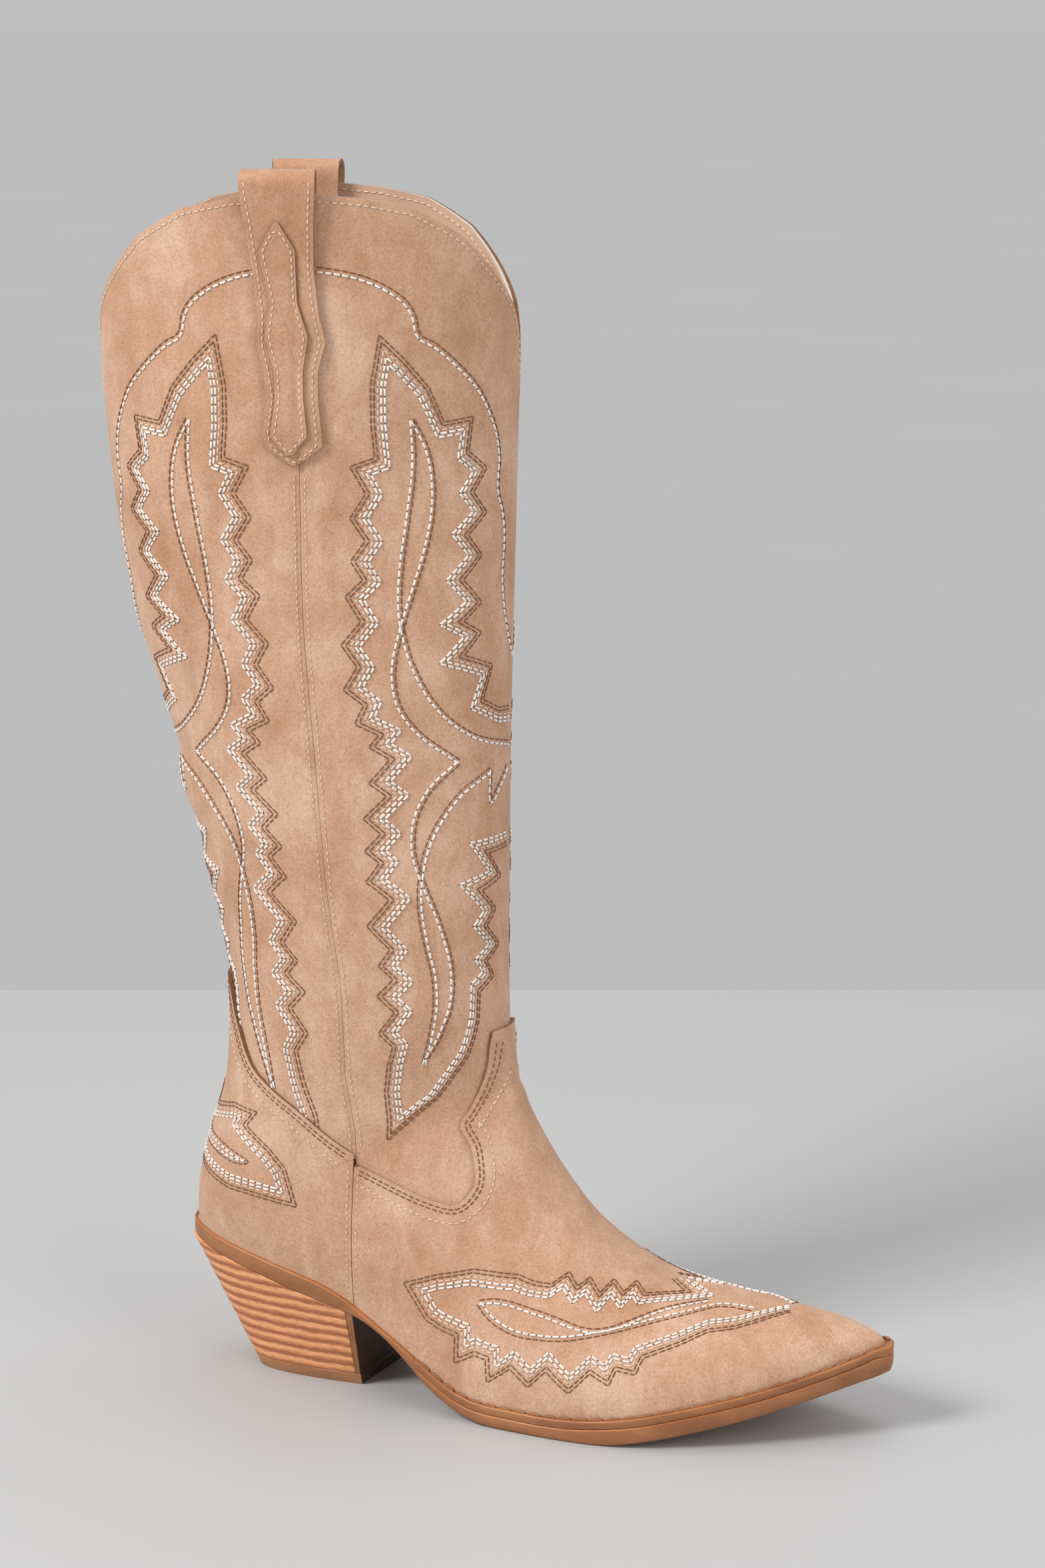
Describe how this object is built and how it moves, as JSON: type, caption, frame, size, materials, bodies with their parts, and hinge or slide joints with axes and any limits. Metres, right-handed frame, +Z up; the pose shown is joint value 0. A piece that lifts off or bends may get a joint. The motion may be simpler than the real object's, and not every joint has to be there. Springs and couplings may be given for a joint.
{
  "type": "cowboy boot",
  "caption": "Tall pull-on cowboy boot with a pointed toe, scalloped suede upper, leather lining, welted moulded sole and a slanted stacked heel.",
  "frame": {"origin": "on the floor, below the middle of the boot's bounding box", "axes": "+Z up the shaft, +X to the toe, +Y to the inner side of a right foot"},
  "size_m": [0.3024, 0.1062, 0.4587],
  "materials": {
    "suede": "brushed nap suede",
    "lining": "smooth unfinished leather",
    "backing_cloth": "woven and fleecy",
    "stiffener": "fibre board",
    "filler": "foam",
    "steel": "plain",
    "sole": "moulded, satin",
    "heel_block": "moulded, matte",
    "heel_stack": "stacked, lightly waxed",
    "top_lift": "matte"
  },
  "bodies": {
    "root": {"shaft_front": "suede", "shaft_back": "suede", "vamp": "suede", "counter": "suede", "pull_strap_outer": "suede", "pull_strap_inner": "suede", "strap_overlay_outer": "suede", "strap_overlay_inner": "suede", "shaft_lining_front": "lining", "shaft_lining_back": "lining", "vamp_lining": "lining", "heel_lining": "lining", "sock_liner": "lining", "edge_backing_front": "backing_cloth", "edge_backing_back": "backing_cloth", "seam_tape_outer": "backing_cloth", "seam_tape_inner": "backing_cloth", "toe_puff": "stiffener", "heel_stiffener": "stiffener", "insole_board": "stiffener", "bottom_filler": "filler", "shank": "steel", "shank_rivet_1": "steel", "shank_rivet_2": "steel", "heel_screw": "steel", "lift_nail_1": "steel", "lift_nail_2": "steel", "lift_nail_3": "steel", "lift_nail_4": "steel", "welt": "sole", "outsole": "sole", "heel_block": "heel_block", "heel_stack": "heel_stack", "top_lift": "top_lift"}
  },
  "joints": []
}
